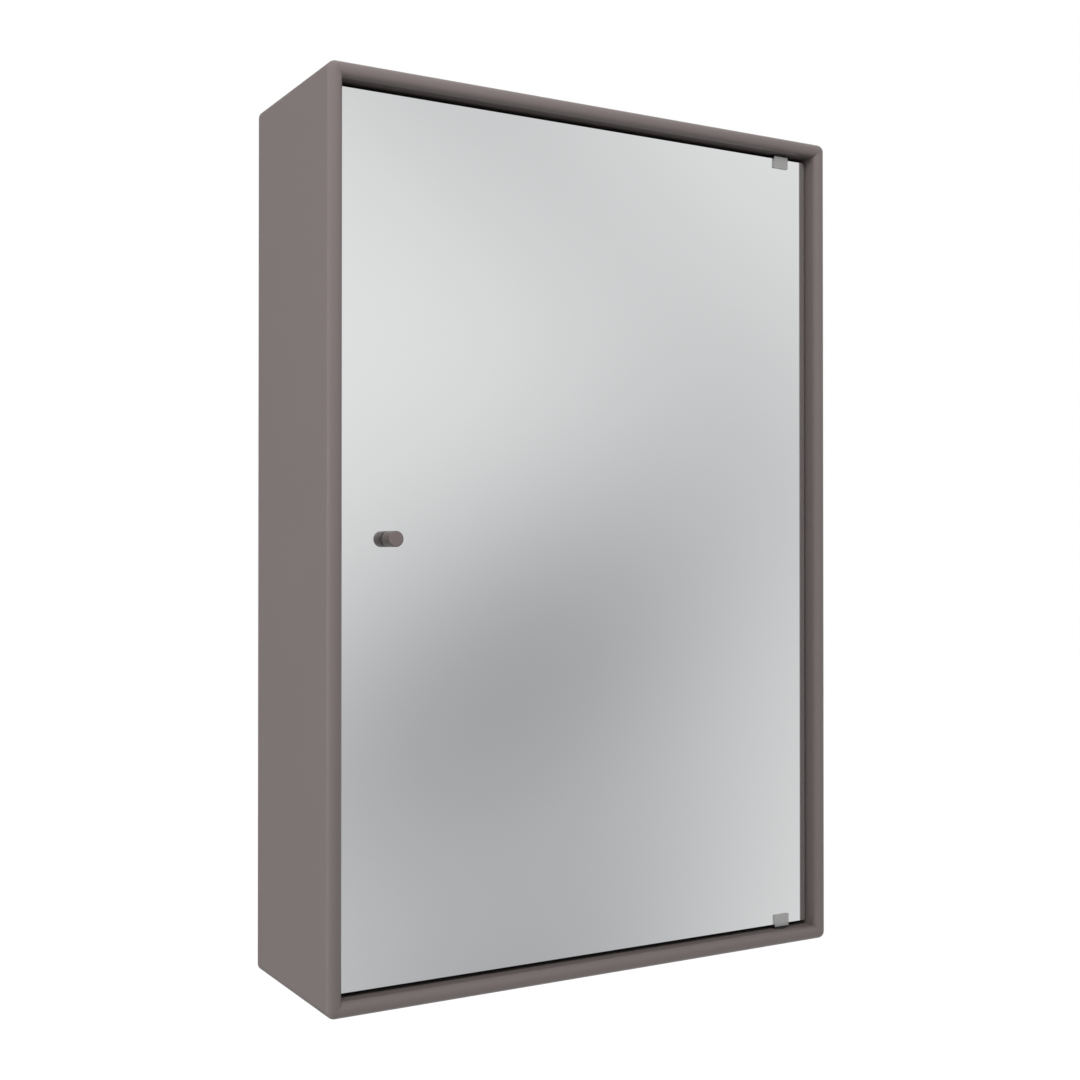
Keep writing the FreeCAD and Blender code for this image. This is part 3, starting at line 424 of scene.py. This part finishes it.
def turned(name, outline, centre, axis, steps):
    """A mesh turned about an axis. outline is (radius, distance along the axis), from the axis to the axis."""
    aim = UP.rotation_difference(axis)
    shape = bmesh.new()
    rings = []
    for radius, along in outline:
        count = steps if radius > 0 else 1
        angles = [2 * math.pi * step / steps for step in range(count)]
        points = [Vector((radius * math.cos(a), radius * math.sin(a), along)) for a in angles]
        rings.append([shape.verts.new(Vector(centre) + aim @ point) for point in points])
    for near, far in zip(rings, rings[1:]):
        for step in range(steps):
            corners = [near[step % len(near)], near[(step + 1) % len(near)]]
            corners += [far[(step + 1) % len(far)], far[step % len(far)]]
            shape.faces.new(list(dict.fromkeys(corners)))
    return mesh_of(name, shape)


def rounded(start, corner, end, radius, steps):
    """Points of an arc that rounds a corner of an outline."""
    corner = Vector(corner)
    before = (Vector(start) - corner).normalized()
    after = (Vector(end) - corner).normalized()
    half = before.angle(after) / 2
    centre = corner + (before + after).normalized() * (radius / math.sin(half))
    first = corner + before * (radius / math.tan(half)) - centre
    last = corner + after * (radius / math.tan(half)) - centre
    shares = [step / steps for step in range(steps + 1)]
    return [tuple(centre + first.lerp(last, share).normalized() * radius) for share in shares]


def cross(centre, axis, reach, width, depth, taper):
    """A cutter for a cross recess: a cross that narrows towards its tip, sunk in against the axis."""
    aim = UP.rotation_difference(axis)
    half = width / 2
    proud = 0.2 * depth
    arm = [(half, half), (half, reach), (-half, reach)]
    turns = [Matrix.Rotation(math.pi / 2 * turn, 2) for turn in range(4)]
    outline = [turn @ Vector(point) for turn in turns for point in arm]
    shape = bmesh.new()
    rims = []
    for along, size in ((proud, 1.0), (-depth, taper)):
        points = [Vector((point.x * size, point.y * size, along)) for point in outline]
        rims.append([shape.verts.new(Vector(centre) + aim @ point) for point in points])
    shape.faces.new(rims[0])
    shape.faces.new(rims[1])
    for step, corner in enumerate(rims[0]):
        after = (step + 1) % len(outline)
        shape.faces.new([corner, rims[0][after], rims[1][after], rims[1][step]])
    return mesh_of("cutter", shape)


def cut(body, cutter):
    """A mesh with another mesh cut out of it."""
    worked = bpy.data.objects.new("worked", body)
    tool = bpy.data.objects.new("tool", cutter)
    for helper in (worked, tool):
        bpy.context.scene.collection.objects.link(helper)
    taken = worked.modifiers.new("taken_out", "BOOLEAN")
    taken.object = tool
    taken.solver = "EXACT"
    bpy.context.view_layer.update()
    made = bpy.data.meshes.new_from_object(worked.evaluated_get(bpy.context.evaluated_depsgraph_get()))
    for helper in (worked, tool):
        bpy.data.objects.remove(helper)
    return smooth(made)


def piece(name, meshes, body, slot, node):
    """One piece of the object from meshes, which stands for a node and rides on a body."""
    shape = bmesh.new()
    for part in meshes:
        shape.from_mesh(part)
    joined = bpy.data.meshes.new(name)
    shape.to_mesh(joined)
    shape.free()
    joined.materials.append(finishes[slot])
    made = bpy.data.objects.new(name, joined)
    bpy.context.scene.collection.objects.link(made)
    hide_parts(node)
    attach(made, body)


# Knob: turned, with a softly rounded rim, a broken rear edge and the blind hole for its screw

def make_knob():
    low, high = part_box("door_knob")
    middle = (low + high) / 2
    radius = (high.z - low.z) / 2
    length = high.y - low.y
    bore = 2.0 * MM
    bore_depth = 9.0 * MM
    rim_radius = 1.0 * MM
    rear_radius = 0.25 * MM
    outline = [(0, bore_depth), (bore, bore_depth), (bore, 0)]
    outline += rounded((bore, 0), (radius, 0), (radius, length), rear_radius, steps=3)
    outline += rounded((radius, 0), (radius, length), (0, length), rim_radius, steps=6)
    outline += [(0, length)]
    knob = turned("knob", outline, (middle.x, high.y, middle.z), TO_FRONT, steps=64)
    piece("turned_knob", [knob], "door", "knob_lacquer", "door_knob")


# Screws with cross recesses

def make_rail_screws():
    """Three countersunk screws, turned from the tip to the flat head."""
    low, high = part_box("rail_screws")
    head = (high.z - low.z) / 2
    length = high.y - low.y
    shank = 1.75 * MM
    tip = 0.4 * MM
    tip_length = 2.4 * MM
    rim_in, face_in = 0.12 * MM, 0.18 * MM
    outline = [(0, length), (tip, length), (shank, length - tip_length)]
    outline += [(shank, head - shank), (head - rim_in, rim_in), (head - face_in, 0), (0, 0)]
    screws = []
    for across in (low.x + head, 0, high.x - head):
        seat = Vector((across, high.y, (low.z + high.z) / 2))
        blank = turned("rail_screw", outline, seat, TO_FRONT, steps=48)
        recess = cross(seat, TO_WALL, reach=1.9 * MM, width=0.75 * MM, depth=1.5 * MM, taper=0.45)
        screws.append(cut(blank, recess))
    piece("cross_head_rail_screws", screws, "cabinet", "screw_steel", "rail_screws")


def make_catch_screws():
    """Two screws with domed heads, turned from the tip to the head."""
    low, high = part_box("catch_screws")
    head = (high.y - low.y) / 2
    length = high.x - low.x
    head_height = 1.8 * MM
    shank = 1.5 * MM
    tip = 0.3 * MM
    tip_length = 2.2 * MM
    seat_radius = 0.15 * MM
    dome_radius = 1.1 * MM
    outline = [(0, length), (tip, length), (shank, length - tip_length), (shank, head_height)]
    outline += rounded((shank, head_height), (head, head_height), (head, 0), seat_radius, steps=2)
    outline += rounded((head, head_height), (head, 0), (0, 0), dome_radius, steps=6)
    outline += [(0, 0)]
    screws = []
    for level in (low.z + head, high.z - head):
        seat = Vector((high.x, (low.y + high.y) / 2, level))
        blank = turned("catch_screw", outline, seat, -TO_RIGHT, steps=40)
        recess = cross(seat, TO_RIGHT, reach=1.6 * MM, width=0.65 * MM, depth=1.3 * MM, taper=0.45)
        screws.append(cut(blank, recess))
    piece("cross_head_catch_screws", screws, "cabinet", "screw_steel", "catch_screws")


make_knob()
make_rail_screws()
make_catch_screws()


# Stage: a pale floor, a pale wall in front whose soft shades the mirror shows, and a grey card behind that the
# left side of the cabinet shows in its gloss. Lengths are in metres.

FLOOR_LEVEL = -2.45
FLOOR_SIZE = 30.0
FLOOR_TONE = (0.76, 0.76, 0.76)
FLOOR_GLOW = 0.64

WALL_AWAY = 3.4
WALL_SIZE = 14.0
WALL_GREY = 0.786
WALL_COOLNESS = 0.03
# Where the wall starts to fade to white: down to its foot, and out to its sides and top
WALL_FOOT_FADE = -1.72
WALL_EDGE_FADE = 4.6
# Each soft shade: depth, middle (across, up), reach (lengthwise, crosswise) and turn in degrees
WALL_SHADES = (
    (0.218, (0.703, 1.986), (2.27, 0.536), 140.4),
    (0.275, (1.528, -0.718), (0.565, 1.235), 119.9),
    (0.612, (0.678, -3.802), (0.900, 3.265), 149.8),
)

CARD_AWAY = 1.2
CARD_ACROSS = (-1.08, 0.3)
CARD_UP = (-2.5, 2.5)
CARD_TONE = (0.2, 0.2, 0.2)

# Soft light from all round: its dimmest and brightest level, and how fast it grows upwards, leftwards and
# frontwards
AMBIENT_DIM = 0.0
AMBIENT_BRIGHT = 0.84
ABOVE = 0.16
LEFTWARD = 0.30
FRONTWARD = 0.27

# Each lamp: place, side of its square and power in watts
LAMPS = {
    "front_softbox": ((-0.50, -1.05, 0.72), 0.6, 9.0),
    "side_softbox": ((-2.8, 1.0, -0.3), 1.2, 27.0),
}


def sheet(name, corners):
    made = bpy.data.meshes.new(name)
    made.from_pydata(corners, [], [range(len(corners))])
    plane = bpy.data.objects.new(name, made)
    bpy.context.scene.collection.objects.link(plane)
    return plane


def show_in_gloss(plane, tone, colour):
    """Gives a sheet a colour that shows only in gloss and casts no light or shadow on the object."""
    plane.visible_camera = False
    plane.visible_diffuse = False
    plane.visible_transmission = False
    plane.visible_shadow = False
    light = tone.node("ShaderNodeEmission", None, {"Color": colour, "Strength": 1.0})
    tone.node("ShaderNodeOutputMaterial", None, {"Surface": light})
    plane.data.materials.append(tone.owner)


def seen_rays(finish):
    """1 for rays from the camera and for those in gloss and glass, 0 for the rays that light the object."""
    camera_rays, gloss_rays, glass_rays = [
        finish.node("ShaderNodeLightPath", output=name)
        for name in ("Is Camera Ray", "Is Glossy Ray", "Is Transmission Ray")
    ]
    return camera_rays | gloss_rays | glass_rays


def make_floor():
    reach = FLOOR_SIZE / 2
    corners = [(-reach, -reach), (reach, -reach), (reach, reach), (-reach, reach)]
    floor = sheet("pale_floor", [(x, y, FLOOR_LEVEL) for x, y in corners])
    pale = new_finish("pale_floor_paint")
    mottle = pale.clouds(0.4, detail=3.0)
    matt = pale.node("ShaderNodeBsdfDiffuse", None, {"Color": pale.tint(FLOOR_TONE, mottle, spread=0.01)})
    glow = pale.node("ShaderNodeEmission", None, {"Color": WHITE, "Strength": FLOOR_GLOW})
    lit = pale.node("ShaderNodeAddShader", None, {0: matt, 1: glow})
    shown = pale.node("ShaderNodeMixShader", None, {0: seen_rays(pale), 1: matt, 2: lit})
    pale.node("ShaderNodeOutputMaterial", None, {"Surface": shown})
    floor.data.materials.append(pale.owner)


def soft_shade(finish, middle, reach, turn):
    """A soft oval shade on the wall: 1 in the middle, fading outwards."""
    along = finish.axis("X") - middle[0]
    up = finish.axis("Z") - middle[1]
    lengthwise = (along * math.cos(turn) + up * math.sin(turn)) * (1 / reach[0])
    crosswise = (up * math.cos(turn) - along * math.sin(turn)) * (1 / reach[1])
    return math.e ** (0 - lengthwise * lengthwise - crosswise * crosswise)


def make_front_wall():
    reach = WALL_SIZE / 2
    corners = [(-reach, FLOOR_LEVEL), (reach, FLOOR_LEVEL), (reach, reach), (-reach, reach)]
    wall = sheet("pale_front_wall", [(x, -WALL_AWAY, z) for x, z in corners])
    tone = new_finish("pale_front_wall_light")
    grey = WALL_GREY
    for depth, middle, shade_reach, turn in WALL_SHADES:
        grey = grey - depth * soft_shade(tone, middle, shade_reach, math.radians(turn))
    grey = grey | tone.step(tone.axis("Z"), WALL_FOOT_FADE, FLOOR_LEVEL)
    grey = grey | tone.step(abs(tone.axis("X")), WALL_EDGE_FADE, reach)
    grey = grey | tone.step(tone.axis("Z"), WALL_EDGE_FADE, reach)
    blue = grey + WALL_COOLNESS * (WALL_GREY - grey)
    show_in_gloss(wall, tone, tone.node("ShaderNodeCombineColor", None, {0: grey, 1: grey, 2: blue}))


def make_side_card():
    left, right = CARD_ACROSS
    low, high = CARD_UP
    corners = [(left, low), (right, low), (right, high), (left, high)]
    card = sheet("grey_side_card", [(x, CARD_AWAY, z) for x, z in corners])
    tone = new_finish("grey_side_card_light")
    show_in_gloss(card, tone, tone.tint(CARD_TONE, tone.clouds(0.4), spread=0.05))


def make_surround():
    """White to the camera and in reflections, and a soft light on the object from all round."""
    surround = bpy.data.worlds.new("studio_surround")
    bpy.context.scene.world = surround
    air = Finish(surround)
    direction = air.node("ShaderNodeTexCoord", output="Generated")
    rightward, rearward, upward = [
        air.node("ShaderNodeSeparateXYZ", None, {0: direction}, name) for name in ("X", "Y", "Z")
    ]
    bright_share = 0.5 + ABOVE * upward - LEFTWARD * rightward - FRONTWARD * rearward
    dim, bright, white = [
        air.node("ShaderNodeBackground", None, {"Color": WHITE, "Strength": strength})
        for strength in (AMBIENT_DIM, AMBIENT_BRIGHT, 1.0)
    ]
    soft = air.node("ShaderNodeMixShader", None, {0: bright_share, 1: dim, 2: bright})
    shown = air.node("ShaderNodeMixShader", None, {0: seen_rays(air), 1: soft, 2: white})
    air.node("ShaderNodeOutputWorld", None, {"Surface": shown})


def turn_towards(thing, direction):
    """Turns a lamp or camera to look along a direction."""
    thing.rotation_euler = Vector(direction).to_track_quat("-Z", "Y").to_euler()


def make_lamp(name, place, size, power):
    """A soft square lamp aimed at the middle of the cabinet, itself out of sight."""
    lamp = bpy.data.lights.new(name, "AREA")
    lamp.size = size
    lamp.energy = power
    made = bpy.data.objects.new(name, lamp)
    made.location = place
    turn_towards(made, (cad_box[0] + cad_box[1]) / 2 - Vector(place))
    made.visible_camera = False
    made.visible_glossy = False
    bpy.context.scene.collection.objects.link(made)


make_floor()
make_front_wall()
make_side_card()
make_surround()
for lamp_name, lamp_values in LAMPS.items():
    make_lamp(lamp_name, *lamp_values)
# The mirror throws no patches of light into the recess or onto the knob
bpy.context.scene.cycles.caustics_reflective = False


# Camera at the photograph's angle: lens and sensor in millimetres

CAMERA_LENS = 49.51
CAMERA_SENSOR = 36.0
CAMERA_PLACE = (-0.64062, -1.16142, -0.29298)
CAMERA_DIRECTION = (0.50052, 0.86570, 0.00742)

camera = bpy.data.cameras.new("photo_camera")
camera.lens = CAMERA_LENS
camera.sensor_width = CAMERA_SENSOR
photo_camera = bpy.data.objects.new("photo_camera", camera)
photo_camera.location = CAMERA_PLACE
turn_towards(photo_camera, CAMERA_DIRECTION)
bpy.context.scene.collection.objects.link(photo_camera)
bpy.context.scene.camera = photo_camera
bpy.context.scene.view_settings.view_transform = "Standard"
